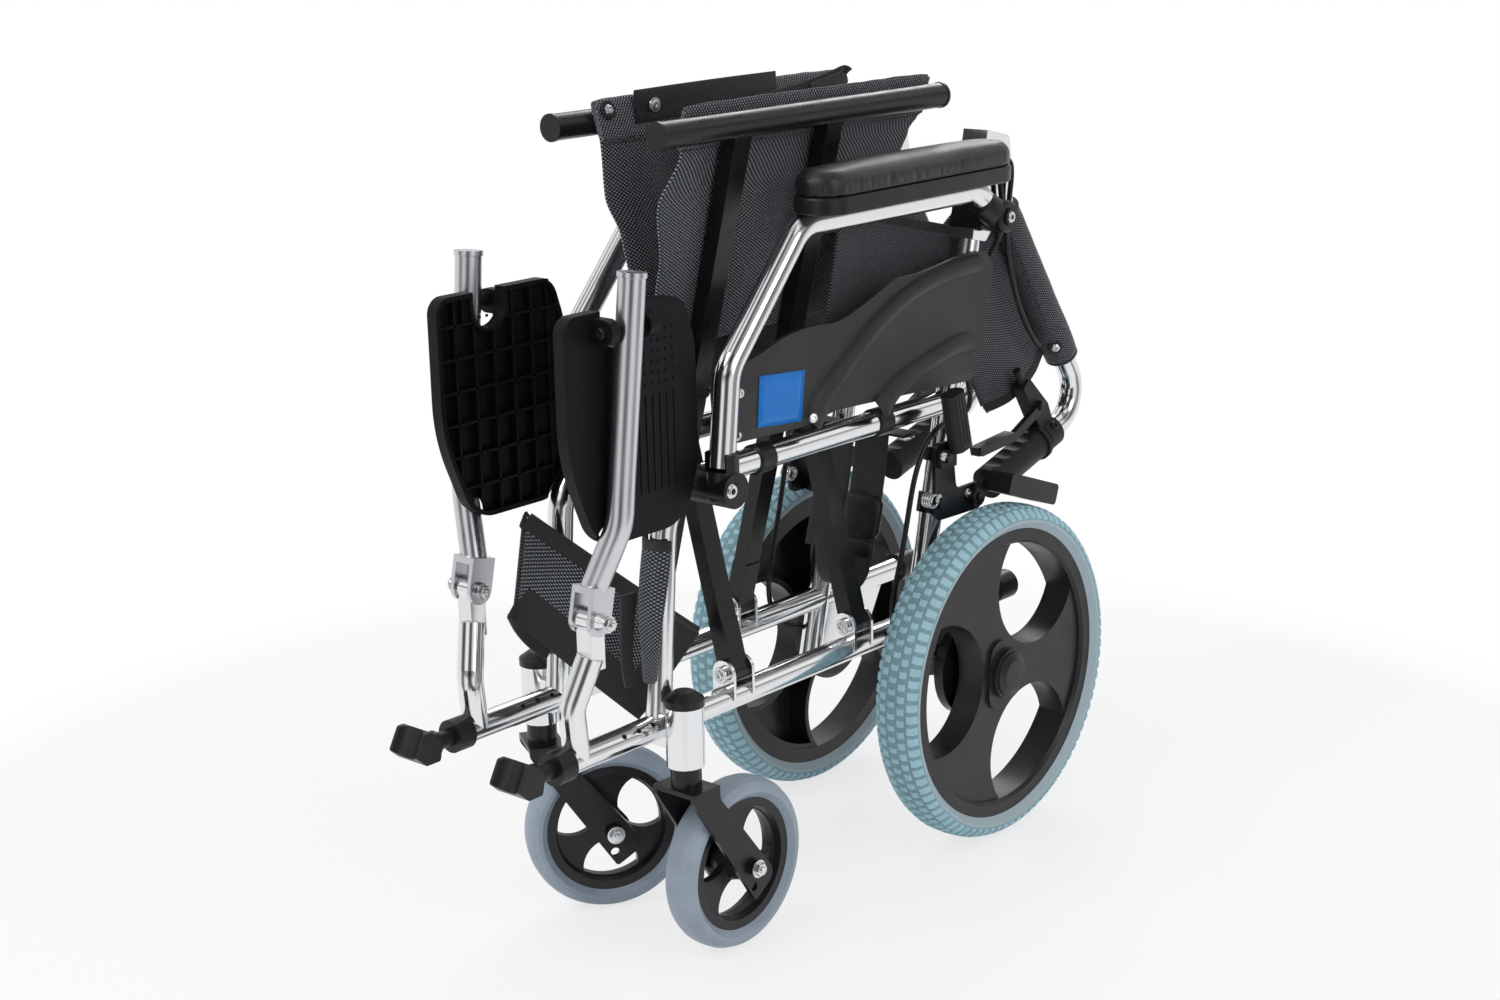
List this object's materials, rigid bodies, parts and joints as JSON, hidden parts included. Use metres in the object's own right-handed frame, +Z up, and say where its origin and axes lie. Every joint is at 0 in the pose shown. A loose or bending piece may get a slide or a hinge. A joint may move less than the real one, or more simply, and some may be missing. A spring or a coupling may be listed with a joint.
{
  "type": "folding transport wheelchair",
  "caption": "Transport wheelchair stored folded: polished tube side frames on a scissor brace, mesh seat and back, raised footplates, flip-up arms, spoked wheels.",
  "frame": {"origin": "middle of the folded chair on the floor", "axes": "+Z up, -Y towards the front, +X towards the chair's left, the chair folded"},
  "size_m": [0.277, 0.7925, 0.7033],
  "materials": {
    "polished_tube": "polished",
    "black_plastic": "fine grain, satin",
    "black_metal": "semi-gloss powder coat",
    "black_rubber": "fluted, matt",
    "hub_plastic": "satin moulded",
    "pale_tyre": "smooth, satin",
    "teal_tyre": "block tread, satin",
    "pad_leather": "fine grain, soft sheen",
    "panel_plastic": "leather grain",
    "mesh_cloth": "air mesh with round pores",
    "cable_jacket": "smooth jacket",
    "brace_paint": "satin powder coat",
    "webbing": "flat woven webbing"
  },
  "bodies": {
    "frame_l": {"side_frame_l": "polished_tube", "frame_fittings_l": "black_plastic", "drum_brake_l": "black_metal", "park_mount_l": "black_metal", "lap_belt_l": "webbing", "brake_cable_l": "cable_jacket"},
    "brace_1": {"cross_brace_1": "brace_paint"},
    "brace_2": {"cross_brace_2": "brace_paint"},
    "frame_r": {"side_frame_r": "polished_tube", "frame_fittings_r": "black_plastic", "drum_brake_r": "black_metal", "park_mount_r": "black_metal", "lap_belt_r": "webbing", "brake_cable_r": "cable_jacket"},
    "seat_l": {"seat_half_l": "mesh_cloth"},
    "seat_r": {"seat_half_r": "mesh_cloth"},
    "caster_l": {"caster_fork_l": "black_metal"},
    "caster_wheel_l": {"caster_hub_l": "hub_plastic", "caster_tyre_l": "pale_tyre"},
    "wheel_l": {"rear_hub_l": "hub_plastic", "rear_tyre_l": "teal_tyre"},
    "arm_l": {"arm_tube_l": "polished_tube", "arm_pad_l": "pad_leather", "side_panel_l": "panel_plastic"},
    "footrest_l": {"footrest_tube_l": "polished_tube"},
    "plate_l": {"footplate_l": "black_plastic"},
    "stop_l": {"saddle_l": "black_plastic"},
    "back_l": {"back_tube_l": "polished_tube", "grip_l": "black_rubber", "back_sleeve_l": "mesh_cloth"},
    "lever_l": {"brake_lever_l": "black_plastic"},
    "park_lever_l": {"park_handle_l": "black_rubber"},
    "shoe_l": {"park_shoe_l": "black_plastic"},
    "low_l": {"back_low_l": "mesh_cloth"},
    "up_outer_l": {"back_up_outer_l": "mesh_cloth"},
    "up_inner_l": {"back_up_inner_l": "mesh_cloth"},
    "calf_outer_l": {"calf_outer_l": "mesh_cloth"},
    "calf_inner_l": {"calf_inner_l": "mesh_cloth"},
    "caster_r": {"caster_fork_r": "black_metal"},
    "caster_wheel_r": {"caster_hub_r": "hub_plastic", "caster_tyre_r": "pale_tyre"},
    "wheel_r": {"rear_hub_r": "hub_plastic", "rear_tyre_r": "teal_tyre"},
    "arm_r": {"arm_tube_r": "polished_tube", "arm_pad_r": "pad_leather", "side_panel_r": "panel_plastic"},
    "footrest_r": {"footrest_tube_r": "polished_tube"},
    "plate_r": {"footplate_r": "black_plastic"},
    "stop_r": {"saddle_r": "black_plastic"},
    "back_r": {"back_tube_r": "polished_tube", "grip_r": "black_rubber", "back_sleeve_r": "mesh_cloth"},
    "lever_r": {"brake_lever_r": "black_plastic"},
    "park_lever_r": {"park_handle_r": "black_rubber"},
    "shoe_r": {"park_shoe_r": "black_plastic"},
    "low_r": {"back_low_r": "mesh_cloth"},
    "up_outer_r": {"back_up_outer_r": "mesh_cloth"},
    "up_inner_r": {"back_up_inner_r": "mesh_cloth"},
    "calf_outer_r": {"calf_outer_r": "mesh_cloth"},
    "calf_inner_r": {"calf_inner_r": "mesh_cloth"}
  },
  "joints": [
    {"name": "fold", "type": "hinge", "parent": "frame_l", "child": "brace_1", "pos_m": [0.059, 0, 0.231], "axis": [0, -1, 0], "range_deg": [0, 50.2], "deforming": ["back_low_l", "back_up_outer_l", "back_up_inner_l", "calf_outer_l", "calf_inner_l", "back_low_r", "back_up_outer_r", "back_up_inner_r", "calf_outer_r", "calf_inner_r"]},
    {"name": "cross", "type": "hinge", "parent": "brace_1", "child": "brace_2", "pos_m": [0, 0, 0.46137], "axis": [0, -1, 0], "range_deg": [-100.6, 0]},
    {"name": "far_frame", "type": "hinge", "parent": "brace_2", "child": "frame_r", "pos_m": [-0.059, 0, 0.231], "axis": [0, -1, 0], "range_deg": [0, 50.4]},
    {"name": "seat_open_l", "type": "hinge", "parent": "brace_2", "child": "seat_l", "pos_m": [0.0465, 0, 0.69173], "axis": [0, 1, 0], "range_deg": [0, 13.2]},
    {"name": "seat_open_r", "type": "hinge", "parent": "brace_1", "child": "seat_r", "pos_m": [-0.0465, 0, 0.69173], "axis": [0, -1, 0], "range_deg": [0, 13.2]},
    {"name": "caster_swivel_l", "type": "hinge", "parent": "frame_l", "child": "caster_l", "pos_m": [0.085, -0.219, 0.2], "axis": [0, 0, 1], "range_deg": [-180, 45]},
    {"name": "caster_roll_l", "type": "hinge", "parent": "caster_l", "child": "caster_wheel_l", "pos_m": [0.085, -0.163, 0.075], "axis": [1, 0, 0], "continuous": true},
    {"name": "rear_roll_l", "type": "hinge", "parent": "frame_l", "child": "wheel_l", "pos_m": [0.113, 0.178, 0.158], "axis": [1, 0, 0], "continuous": true},
    {"name": "arm_flip_l", "type": "hinge", "parent": "frame_l", "child": "arm_l", "pos_m": [0.09, 0.214, 0.58], "axis": [-1, 0, 0], "range_deg": [0, 105], "deforming": ["brake_cable_l"]},
    {"name": "footrest_swing_l", "type": "hinge", "parent": "frame_l", "child": "footrest_l", "pos_m": [0.0686, -0.307, 0.325], "axis": [1, 0, 0], "range_deg": [0, 141]},
    {"name": "footplate_flip_l", "type": "hinge", "parent": "footrest_l", "child": "plate_l", "pos_m": [0.088, -0.27406, 0.555], "axis": [0, 1, 0], "range_deg": [0, 90.2]},
    {"name": "stop_slide_l", "type": "slide", "parent": "frame_l", "child": "stop_l", "axis": [0, -1, 0], "range_m": [-0.016, 0]},
    {"name": "back_fold_l", "type": "hinge", "parent": "frame_l", "child": "back_l", "pos_m": [0.059, 0.244, 0.613], "axis": [1, 0, 0], "range_deg": [0, 133.8], "deforming": ["brake_cable_l"]},
    {"name": "brake_squeeze_l", "type": "hinge", "parent": "back_l", "child": "lever_l", "pos_m": [0.066, 0.31312, 0.3798], "axis": [1, 0, 0], "range_deg": [0, 11], "stiffness_Nm_per_rad": 0.6, "springref_deg": -11.46},
    {"name": "park_swing_l", "type": "hinge", "parent": "frame_l", "child": "park_lever_l", "pos_m": [0.088, 0.133, 0.369], "axis": [1, 0, 0], "range_deg": [0, 35]},
    {"name": "park_press_l", "type": "hinge", "parent": "frame_l", "child": "shoe_l", "pos_m": [0.088, 0.181, 0.323], "axis": [-1, 0, 0], "range_deg": [0, 2]},
    {"name": "back_low_open_l", "type": "hinge", "parent": "frame_l", "child": "low_l", "pos_m": [0.047, 0.1295, 0.209], "axis": [0, -0.2292, -0.9734], "range_deg": [0, 90.1]},
    {"name": "back_up_open_l", "type": "hinge", "parent": "back_l", "child": "up_outer_l", "pos_m": [0.0447, 0.244, 0.613], "axis": [0, 0.5424, -0.8401], "range_deg": [0, 90.1]},
    {"name": "back_up_unfold_l", "type": "hinge", "parent": "up_outer_l", "child": "up_inner_l", "pos_m": [0.03735, 0.15411, 0.55496], "axis": [0, -0.5424, 0.8401], "range_deg": [0, 180.1]},
    {"name": "calf_open_l", "type": "hinge", "parent": "frame_l", "child": "calf_outer_l", "pos_m": [0.059, -0.223, 0.209], "axis": [0, -0.0794, -0.9968], "range_deg": [0, 80.2]},
    {"name": "calf_unfold_l", "type": "hinge", "parent": "calf_outer_l", "child": "calf_inner_l", "pos_m": [0.043, -0.322, 0.246], "axis": [0, 0.0794, 0.9968], "range_deg": [0, 147.5]},
    {"name": "caster_swivel_r", "type": "hinge", "parent": "frame_r", "child": "caster_r", "pos_m": [-0.085, -0.219, 0.2], "axis": [0, 0, 1], "continuous": true},
    {"name": "caster_roll_r", "type": "hinge", "parent": "caster_r", "child": "caster_wheel_r", "pos_m": [-0.05532, -0.17151, 0.075], "axis": [0.848, -0.5299, 0], "continuous": true},
    {"name": "rear_roll_r", "type": "hinge", "parent": "frame_r", "child": "wheel_r", "pos_m": [-0.113, 0.178, 0.158], "axis": [1, 0, 0], "continuous": true},
    {"name": "arm_flip_r", "type": "hinge", "parent": "frame_r", "child": "arm_r", "pos_m": [-0.09, 0.214, 0.58], "axis": [-1, 0, 0], "range_deg": [0, 105], "deforming": ["brake_cable_r"]},
    {"name": "footrest_swing_r", "type": "hinge", "parent": "frame_r", "child": "footrest_r", "pos_m": [-0.0686, -0.307, 0.325], "axis": [1, 0, 0], "range_deg": [0, 141]},
    {"name": "footplate_flip_r", "type": "hinge", "parent": "footrest_r", "child": "plate_r", "pos_m": [-0.088, -0.27406, 0.555], "axis": [0, -1, 0], "range_deg": [0, 90.2]},
    {"name": "stop_slide_r", "type": "slide", "parent": "frame_r", "child": "stop_r", "axis": [0, -1, 0], "range_m": [-0.016, 0]},
    {"name": "back_fold_r", "type": "hinge", "parent": "frame_r", "child": "back_r", "pos_m": [-0.059, 0.244, 0.613], "axis": [1, 0, 0], "range_deg": [0, 133.8], "deforming": ["brake_cable_r"]},
    {"name": "brake_squeeze_r", "type": "hinge", "parent": "back_r", "child": "lever_r", "pos_m": [-0.066, 0.31312, 0.3798], "axis": [1, 0, 0], "range_deg": [0, 11], "stiffness_Nm_per_rad": 0.6, "springref_deg": -11.46},
    {"name": "park_swing_r", "type": "hinge", "parent": "frame_r", "child": "park_lever_r", "pos_m": [-0.088, 0.133, 0.369], "axis": [1, 0, 0], "range_deg": [0, 35]},
    {"name": "park_press_r", "type": "hinge", "parent": "frame_r", "child": "shoe_r", "pos_m": [-0.088, 0.181, 0.323], "axis": [-1, 0, 0], "range_deg": [0, 2]},
    {"name": "back_low_open_r", "type": "hinge", "parent": "frame_r", "child": "low_r", "pos_m": [-0.047, 0.1295, 0.209], "axis": [0, 0.2292, 0.9734], "range_deg": [0, 90.1]},
    {"name": "back_up_open_r", "type": "hinge", "parent": "back_r", "child": "up_outer_r", "pos_m": [-0.0447, 0.244, 0.613], "axis": [0, -0.5424, 0.8401], "range_deg": [0, 90.1]},
    {"name": "back_up_unfold_r", "type": "hinge", "parent": "up_outer_r", "child": "up_inner_r", "pos_m": [-0.03735, 0.15411, 0.55496], "axis": [0, 0.5424, -0.8401], "range_deg": [0, 180.1]},
    {"name": "calf_open_r", "type": "hinge", "parent": "frame_r", "child": "calf_outer_r", "pos_m": [-0.059, -0.223, 0.209], "axis": [0, 0.0794, 0.9968], "range_deg": [0, 80.2]},
    {"name": "calf_unfold_r", "type": "hinge", "parent": "calf_outer_r", "child": "calf_inner_r", "pos_m": [-0.043, -0.322, 0.246], "axis": [0, -0.0794, -0.9968], "range_deg": [0, 147.5]}
  ],
  "couplings": [
    {"joint": "cross", "follows": "fold", "ratio": -2},
    {"joint": "far_frame", "follows": "fold", "ratio": 1},
    {"joint": "seat_open_l", "follows": "fold", "ratio": 0.26},
    {"joint": "seat_open_r", "follows": "fold", "ratio": 0.26},
    {"joint": "footplate_flip_l", "follows": "footrest_swing_l", "ratio": 0.6383},
    {"joint": "park_press_l", "follows": "park_swing_l", "ratio": 0.057143},
    {"joint": "back_low_open_l", "follows": "fold", "ratio": 1.7928},
    {"joint": "back_up_open_l", "follows": "fold", "ratio": 1.7928},
    {"joint": "back_up_unfold_l", "follows": "fold", "ratio": 3.5857},
    {"joint": "calf_open_l", "follows": "fold", "ratio": 1.5936},
    {"joint": "calf_unfold_l", "follows": "fold", "ratio": 2.9363},
    {"joint": "footplate_flip_r", "follows": "footrest_swing_r", "ratio": 0.6383},
    {"joint": "back_fold_r", "follows": "back_fold_l", "ratio": 1},
    {"joint": "park_press_r", "follows": "park_swing_r", "ratio": 0.057143},
    {"joint": "back_low_open_r", "follows": "fold", "ratio": 1.7928},
    {"joint": "back_up_open_r", "follows": "fold", "ratio": 1.7928},
    {"joint": "back_up_unfold_r", "follows": "fold", "ratio": 3.5857},
    {"joint": "calf_open_r", "follows": "fold", "ratio": 1.5936},
    {"joint": "calf_unfold_r", "follows": "fold", "ratio": 2.9363}
  ]
}
